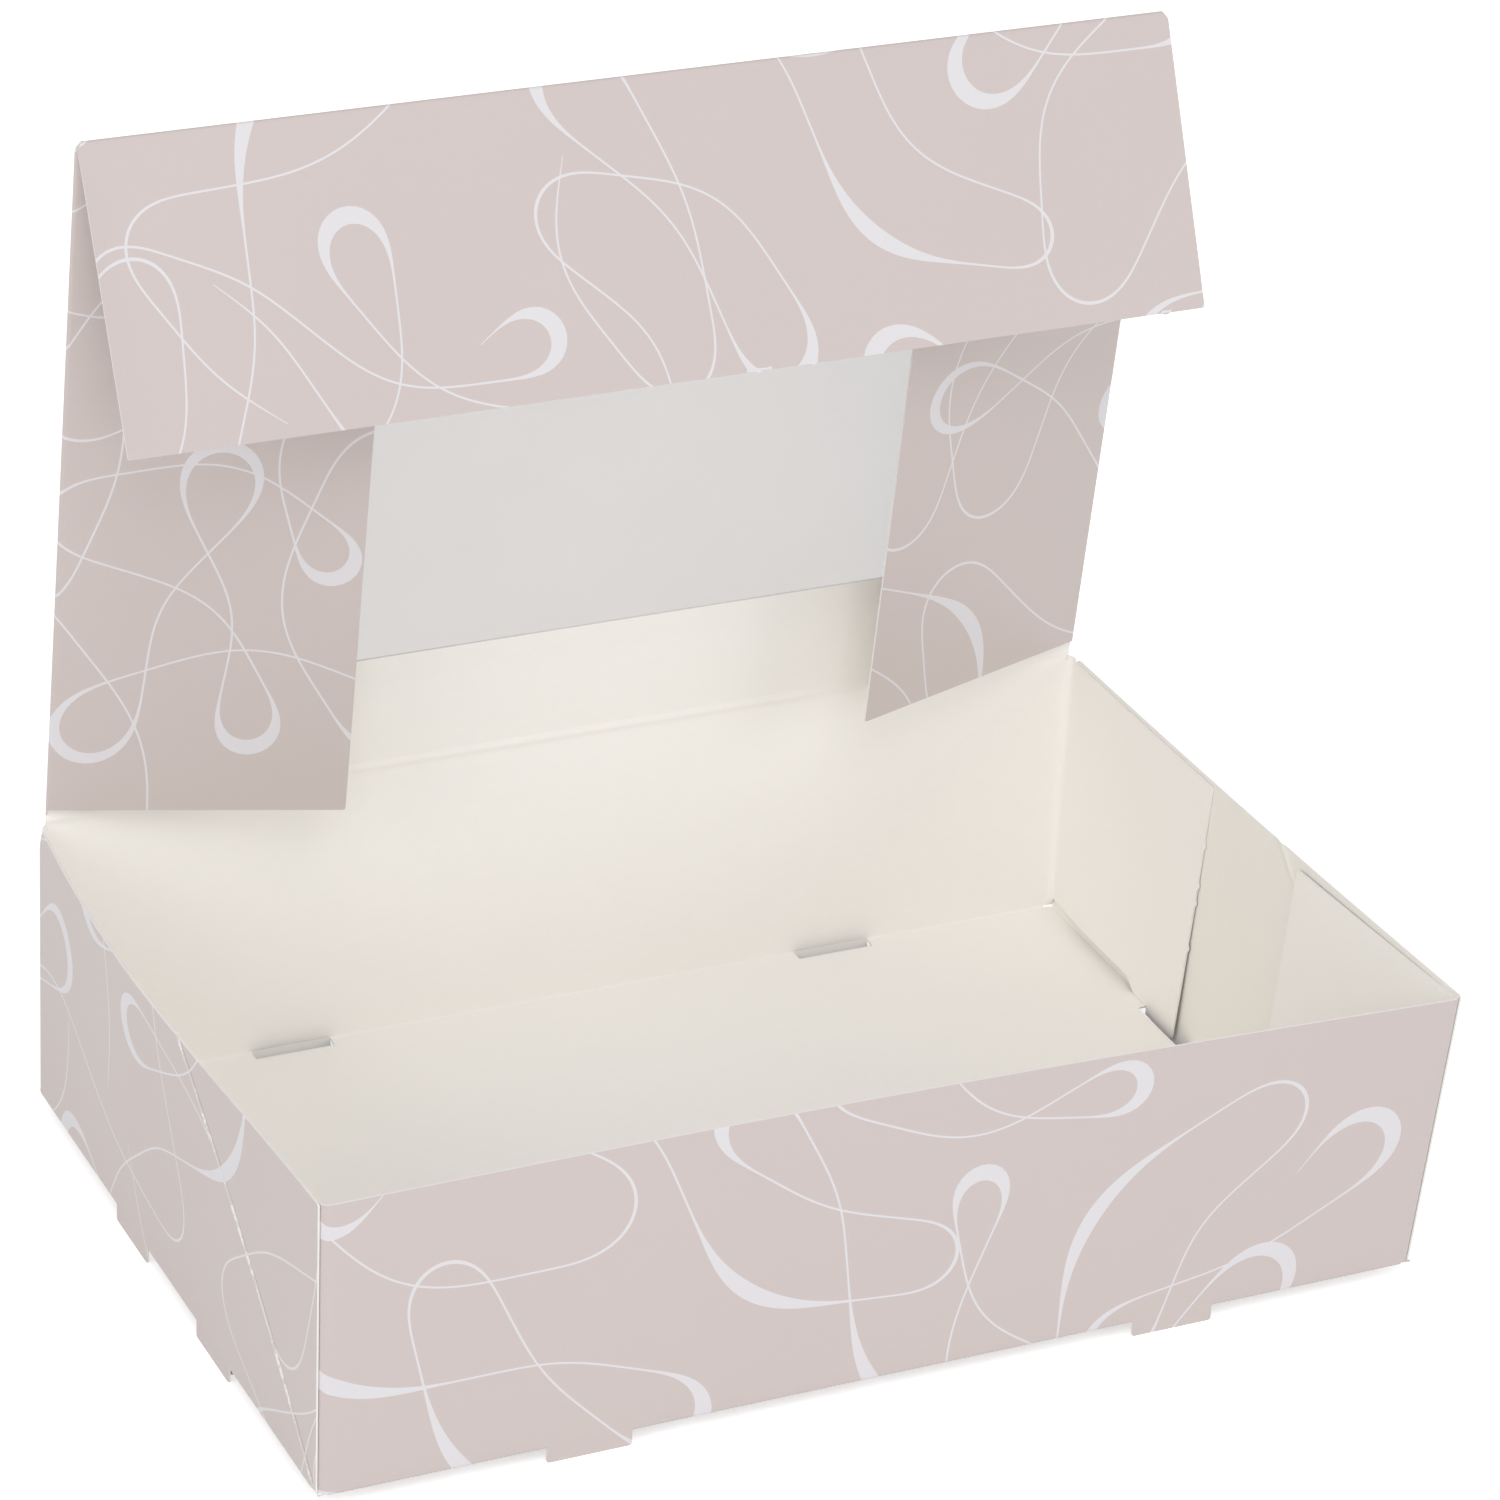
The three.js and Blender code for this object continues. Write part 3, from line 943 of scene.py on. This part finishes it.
def long_sheet_outline():
    """Front wall, bottom and back wall as one cut outline, with the side slots let into its edges."""
    total = long_profile.length
    bottom_edge = HALF_WIDTH - FOLD_REACH
    slot_edge = HALF_WIDTH - BOARD - SLOT_DEPTH
    bottom_start = WALL_RUN + QUARTER_FOLD

    def along(y):
        return bottom_start + y + HALF_DEPTH - FOLD_REACH

    right = list(glue_flap_half(FRONT_GLUE_FLAP))
    right += [(END_PLAN_STRAIGHT, bottom_start - SIDE_CORNER_NIP), (bottom_edge, bottom_start + CREASE_STEP)]
    for low, high in SIDE_FEET:
        right += rounded([(bottom_edge, along(low)), (slot_edge, along(low), FOOT_ROUND),
                          (slot_edge, along(high), FOOT_ROUND), (bottom_edge, along(high))])
    right += [(bottom_edge, total - bottom_start - REAR_CORNER_HOLE),
              (END_PLAN_STRAIGHT, total - bottom_start + SIDE_CORNER_NIP)]
    back = glue_flap_half(BACK_GLUE_FLAP, BACK_FLAP_NICKS)
    right += [(u, total - v) for u, v in reversed(back)]
    lid_edge = LID_FOLD_START + CREASE_STEP
    return mirrored(right + [(lid_edge, total), (lid_edge, total - HINGE_CREASE_DROP)])


def slots():
    """Slots behind the front and back feet, in the long sheet's own u and v."""
    total = long_profile.length
    end = WALL_RUN + QUARTER_FOLD + SLOT_DEPTH + BOARD - FOLD_REACH
    holes = []
    for low, high in LONG_FEET:
        hole = rounded([(low, WALL_RUN), (high, WALL_RUN), (high, end, FOOT_ROUND), (low, end, FOOT_ROUND)])
        holes.append(hole)
        holes.append([(u, total - v) for u, v in hole])
    return holes


SLOT_NEAR = long_profile.length - WALL_RUN - QUARTER_FOLD - SLOT_DEPTH - BOARD + FOLD_REACH


def slot_light_strips():
    """Painted light: white strips along the front and right of the slots in the back, for the bright ground
    seen through them, in the long sheet's u and v.
    """
    near, far = SLOT_NEAR - SLOT_LIGHT_OVERLAP, SLOT_NEAR + SLOT_LIGHT_LENGTH
    for low, high in LONG_FEET:
        left, right = low + SLOT_LIGHT_START, high - SLOT_LIGHT_OVERLAP
        yield [(left, near), (right, near), (right, far), (high - SLOT_LIGHT_WIDTH, far),
               (high - SLOT_LIGHT_WIDTH, SLOT_NEAR + SLOT_LIGHT_WIDTH), (left, SLOT_NEAR + SLOT_LIGHT_WIDTH)]


def foot(low, high):
    """Outline of a foot, from the wall's bottom crease down to its end."""
    return rounded([(low, WALL_RUN), (high, WALL_RUN),
                    (high, WALL_TOP, FOOT_ROUND), (low, WALL_TOP, FOOT_ROUND)])


def side_wall(side):
    """Placing of a side wall: u from front to back, v down and into the bottom."""
    def place(u, v):
        point, left = side_profile.at(v)
        offset = diagonal_offset(u, v)
        normal = Vector((side * left.x, 0.0, -left.y))
        return Vector((-side * point.x, u, point.y)) - normal * offset, normal
    return place


def side_foot(side):
    """Placing of a left (side -1) or right (side 1) foot."""
    def place(u, v):
        return Vector((side * (HALF_WIDTH - HALF_BOARD), u, WALL_TOP - v)), Vector((side, 0.0, 0.0))
    return place


def end_foot(end):
    """Placing of a front (end -1) or back (end 1) foot. The back ones have sprung inwards a little."""
    lean = BACK_FOOT_LEAN if end > 0 else 0.0
    normal = Vector((0.0, end, lean)).normalized()

    def place(u, v):
        inward = HALF_BOARD + lean * (v - WALL_RUN)
        drop = (v - WALL_RUN) * (1 - BACK_FOOT_LIFT * lean)
        return Vector((u, end * (HALF_DEPTH - inward), WALL_TOP - WALL_RUN - drop)), normal
    return place


def off_diagonal(u, v):
    """Distance of a side wall's point behind its diagonal crease."""
    away = (u + HALF_DEPTH - DIAGONAL_START) - (WALL_TOP - v - FOOT_HEIGHT) * DIAGONAL_LEAN
    return away / math.hypot(1, DIAGONAL_LEAN)


def diagonal_offset(u, v):
    """How deep the diagonal crease presses a point in."""
    return DIAGONAL_DEPTH * math.exp(-(off_diagonal(u, v) / DIAGONAL_SPREAD) ** 2)


def diagonal_lines():
    """Lines beside the diagonal crease in a side wall's u and v, close enough to round it."""
    foot_line = WALL_TOP - FOOT_HEIGHT
    rise = WALL_RUN + DIAGONAL_OVERRUN
    starts = [-HALF_DEPTH + DIAGONAL_START + away * math.hypot(1, DIAGONAL_LEAN) for away in DIAGONAL_LINES]
    return [[(start, foot_line), (start + rise * DIAGONAL_LEAN, foot_line - rise)] for start in starts]


def side_wall_outline():
    front = -HALF_DEPTH + SIDE_WALL_SETBACK
    back = HALF_DEPTH - SIDE_WALL_SETBACK
    crease_end = HALF_DEPTH - BOARD - FOLD_REACH
    deep = side_profile.length
    lower = [(crease_end, WALL_RUN), (crease_end, deep)]
    for low, high in reversed(SIDE_FEET):
        lower += [(high, deep), (high, WALL_RUN), (low, WALL_RUN), (low, deep)]
    lower += [(-crease_end, deep), (-crease_end, WALL_RUN)]
    cut_back, cut_down = SIDE_WALL_CUT
    upper = [(front, 0.0, SMALL_ROUND), (back - cut_back, 0.0, SMALL_ROUND),
             (back, cut_down, CORNER_ROUND), (back, WALL_RUN)]
    return rounded(upper + lower + [(front, WALL_RUN)])


# Where the pieces lie on the print, which is where their own (0, 0) is on it
FRONT_WALL_PRINT = 645.0
BACK_FEET_PRINT = FRONT_WALL_PRINT - long_profile.length + 2 * WALL_RUN
HINGE_CREASE_PRINT = FRONT_WALL_PRINT - long_profile.length + HINGE_CREASE_DROP
LID_PRINT = FRONT_WALL_PRINT - long_profile.length - (hinge_point.z - WALL_TOP)
SIDE_WALL_PRINT = {-1: (-40.0, 480.0), 1: (60.0, 560.0)}


def make_tray():
    board = Board()
    total = long_profile.length
    corner_folds = [s - END_PLAN_MIDDLE for s in end_plan.fold_lines]
    lines = across_lines(long_profile.fold_lines, -HALF_WIDTH, HALF_WIDTH)
    lines += upright_lines(corner_folds, -PAST_EDGE, WALL_RUN)
    lines += upright_lines(corner_folds, total - WALL_RUN, total + PAST_EDGE)
    board.add(long_sheet_outline(), long_sheet, tray_flare, slots(), lines, print_at=(0.0, FRONT_WALL_PRINT))
    # Painted light: white strips in the back slots, in the cut edges' finish, for the bright ground seen
    # through them
    for light_strip in slot_light_strips():
        board.add(light_strip, place_slot_light, tray_flare, all_edge_finish=True, thickness=SLOT_LIGHT_THICKNESS)
    for side, print_place in SIDE_WALL_PRINT.items():
        lines = across_lines(side_profile.fold_lines, -HALF_DEPTH, HALF_DEPTH) + diagonal_lines()
        # The side walls' inside takes the darker cream of painted shade
        board.add(side_wall_outline(), side_wall(side), tray_flare, (), lines, print_at=print_place,
                  mark=off_diagonal, inside=Board.RECESSED)
        for low, high in SIDE_FEET:
            board.add(foot(low, high), side_foot(side), tray_flare, print_at=print_place)
    for end, print_low in ((-1, FRONT_WALL_PRINT), (1, BACK_FEET_PRINT)):
        for low, high in LONG_FEET:
            board.add(foot(low, high), end_foot(end), tray_flare, print_at=(0.0, print_low))
    piece = board.build("tray_board", board_finishes)
    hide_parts("tray")
    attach(piece, "tray")
    return piece


# Lid

lid_turn = Matrix.Rotation(-math.radians(LID_OPENING), 3, "X")
lid_half_line = FoldedLine((0.0, 0.0), 0, [
    run(LID_FOLD_START), fold(SIDE_FLAP_LIFT - 180), run(SIDE_FLAP_WIDTH)])
LID_FOLD_END = lid_half_line.fold_lines[-1]
LID_START = HINGE_CREASE
LID_END = LID_LENGTH - FRONT_FLAP_CREASE


def on_lid(x, v, z):
    """A point given by its place across, its distance from the hinge and its height over the closed lid."""
    return hinge_point + lid_turn @ Vector((x, -v, z))


def lid_sheet(u, v):
    """Placing of the lid with its side flaps: u across, v from the hinge."""
    point, left = lid_half_line.at(abs(u))
    side = math.copysign(1, u)
    return on_lid(side * point.x, v, point.y), lid_turn @ Vector((side * left.x, 0.0, left.y))


def lid_outline():
    slope = math.sin(math.radians(SIDE_FLAP_LIFT)) / math.tan(math.radians(180 - FRONT_FLAP_FOLD))
    edge = LID_FOLD_START + CREASE_STEP
    free = LID_FOLD_END + SIDE_FLAP_WIDTH - FOLD_REACH
    rear = SIDE_FLAP_REAR_GAP
    front = LID_LENGTH - SIDE_FLAP_FRONT_GAP
    half = rounded([
        (0.0, LID_START), (edge, LID_START),
        (edge, rear - CREASE_STEP), (LID_FOLD_END, rear), (free, rear, SMALL_ROUND),
        (free, front - slope * SIDE_FLAP_WIDTH, CORNER_ROUND), (LID_FOLD_END, front),
        (edge, front + CREASE_STEP), (edge, LID_END), (0.0, LID_END)])
    return mirrored(half[1:-1])


def window_outline(margin):
    x = LID_HALF_WIDTH - WINDOW_SIDE_BORDER + margin
    rear = WINDOW_END_BORDER - margin
    front = LID_LENGTH - WINDOW_END_BORDER + margin
    return rounded([(-x, rear, CORNER_ROUND), (x, rear, CORNER_ROUND),
                    (x, front, CORNER_ROUND), (-x, front, CORNER_ROUND)])


def make_lid():
    board = Board()
    folds = [side * s for side in (-1, 1) for s in lid_half_line.fold_lines]
    board.add(lid_outline(), lid_sheet, None, [window_outline(0.0)],
              upright_lines(folds, -PAST_EDGE, LID_LENGTH), print_at=(0.0, LID_PRINT))
    piece = board.build("lid_board", board_finishes)
    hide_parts("lid")
    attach(piece, "lid")
    return piece


def make_film():
    board = Board()
    depth = HALF_BOARD + FILM_GAP / 2 + FILM_THICKNESS / 2

    def place(u, v):
        across, along = FILM_RIPPLE_REACH
        ripple = FILM_RIPPLE * math.sin(u / across + FILM_RIPPLE_START) * math.sin(v / along)
        return on_lid(u, v, -depth + ripple), lid_turn @ Vector((0.0, 0.0, 1.0))

    board.add(window_outline(FILM_MARGIN), place, strokes=[window_outline(-PANE_INSET)],
              thickness=FILM_THICKNESS)
    piece = board.build("window_sheet", [film_clear, film_pane, film_clear, film_clear])
    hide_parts("window_film")
    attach(piece, "lid")
    return piece


# Front flap and the two creases

flap_turn = lid_turn @ Matrix.Rotation(math.radians(FRONT_FLAP_FOLD), 3, "X")
flap_crease_straight = FRONT_FLAP_CREASE - (FRONT_FLAP_RADIUS - HALF_BOARD) * math.tan(
    math.radians(FRONT_FLAP_FOLD / 2))
flap_crease_line = FoldedLine((LID_END, 0.0), 0, [
    run(flap_crease_straight), fold(-FRONT_FLAP_FOLD, FRONT_FLAP_RADIUS), run(flap_crease_straight)])
FLAP_CREASE_PRINT = LID_PRINT - LID_END
FRONT_FLAP_PRINT = FLAP_CREASE_PRINT - flap_crease_line.length + FRONT_FLAP_CREASE


def flap_sheet(u, v):
    """Placing of the front flap, whose left edge curls outwards a little."""
    normal = flap_turn @ Vector((0.0, 0.0, 1.0))
    curled = max(0.0, 1 - (u + LID_HALF_WIDTH - FRONT_FLAP_TAPER) / FLAP_CURL_WIDTH)
    free = min(1.0, max(0.0, (v - FRONT_FLAP_CREASE) / FLAP_CURL_START))
    return flap_crease_point + flap_turn @ Vector((u, -v, HALF_BOARD + FLAP_CURL * curled * free)), normal


def front_flap_outline():
    top = LID_HALF_WIDTH - FRONT_FLAP_TOP_INSET
    free = LID_HALF_WIDTH - FRONT_FLAP_TAPER
    left_round, right_round = FRONT_FLAP_ROUNDS
    corners = [(-top, FRONT_FLAP_CREASE), (top, FRONT_FLAP_CREASE), (free, FRONT_FLAP_LENGTH, right_round)]
    for middle, _ in reversed(FLAP_NICKS):
        corners += [(u, FRONT_FLAP_LENGTH + out) for u, out in reversed(stub(middle, FRONT_FLAP_STUB))]
    corners.append((-free, FRONT_FLAP_LENGTH, left_round))
    return rounded(corners)


def torn_patches():
    """White spots where the print has torn off at the free edge."""
    for middle, width in FLAP_NICKS:
        yield [(middle + width * share, FRONT_FLAP_LENGTH - up) for share, up in TORN_SPOT]


def make_front_flap():
    board = Board()
    left = -LID_HALF_WIDTH + FRONT_FLAP_TAPER
    steps = [left + FLAP_CURL_WIDTH * k / CURL_STEPS for k in range(1, CURL_STEPS + 1)]
    curl_lines = upright_lines(steps, 0.0, FRONT_FLAP_LENGTH + PAST_EDGE)
    board.add(front_flap_outline(), flap_sheet, None, (), curl_lines, (0.0, FRONT_FLAP_PRINT), torn_patches())
    piece = board.build("front_flap_board", board_finishes)
    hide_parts("lid_front_flap")
    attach(piece, "front_flap")
    return piece


def crease(name, outline, place, lines, print_at, bodies, start, end, mark=None):
    """A crease board that spans between two bodies, left in the pose it is built in."""
    board = Board()
    board.add(outline, place, None, (), lines, print_at, mark=mark)
    piece = board.build(name, board_finishes)
    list(bodies)
    start * MM
    end * MM
    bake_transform(piece)
    return piece


def make_hinge_crease():
    """The board between the back wall's top and the lid, with its pressed bead on the inside."""
    below = hinge_point.z - WALL_TOP + HINGE_CREASE_DROP
    line = FoldedLine((HALF_DEPTH - HALF_BOARD, WALL_TOP - HINGE_CREASE_DROP), 90, [
        run(below), fold(90 - LID_OPENING, HINGE_BEND), run(HINGE_CREASE)])
    length = below + HINGE_CREASE

    def place(u, v):
        point, left = line.at(v)
        bead = HINGE_BEAD * math.sin(math.pi * min(1.0, max(0.0, v / length)) ** HINGE_BEAD_SKEW) ** 2
        normal = Vector((0.0, -left.x, -left.y))
        return Vector((u, point.x, point.y)) - normal * bead, normal

    start, _ = place(0.0, 0.0)
    end, _ = place(0.0, length)
    edge = LID_FOLD_START + CREASE_STEP
    outline = [(-edge, 0.0), (edge, 0.0), (edge, length), (-edge, length)]
    steps = [length * k / HINGE_STEPS for k in range(1, HINGE_STEPS)]
    return crease("hinge_crease", outline, place, across_lines(steps, -HALF_WIDTH, HALF_WIDTH),
                  (0.0, HINGE_CREASE_PRINT), ("tray", "lid"), start, end)


def make_flap_crease():
    """The rounded fold between the lid and its front flap."""
    def place(u, v):
        point, left = flap_crease_line.at(v)
        return on_lid(u, point.x, point.y), lid_turn @ Vector((0.0, -left.x, left.y))

    start, _ = place(0.0, 0.0)
    end, _ = place(0.0, flap_crease_line.length)
    half = LID_HALF_WIDTH - FLAP_CREASE_INSET
    middle = flap_crease_line.length / 2
    upper = [(half, 0.0), *((half - inset, middle - away) for inset, away in FLAP_CREASE_PINCH)]
    lower = [(u, 2 * middle - v) for u, v in reversed(upper)]
    lines = across_lines(flap_crease_line.fold_lines, -HALF_WIDTH, HALF_WIDTH)
    return crease("front_flap_crease", mirrored(upper + lower), place, lines, (0.0, FLAP_CREASE_PRINT),
                  ("lid", "front_flap"), start, end, mark=lambda u, v: abs(v - middle) + FLAP_CREASE_UNWORN)


make_tray()
make_lid()
make_film()
make_front_flap()
make_hinge_crease()
make_flap_crease()

white_floor()
studio_world(STUDIO_LEVEL)
for softbox in SOFTBOXES:
    soft_light(*softbox)
bpy.context.scene.view_settings.view_transform = "Standard"
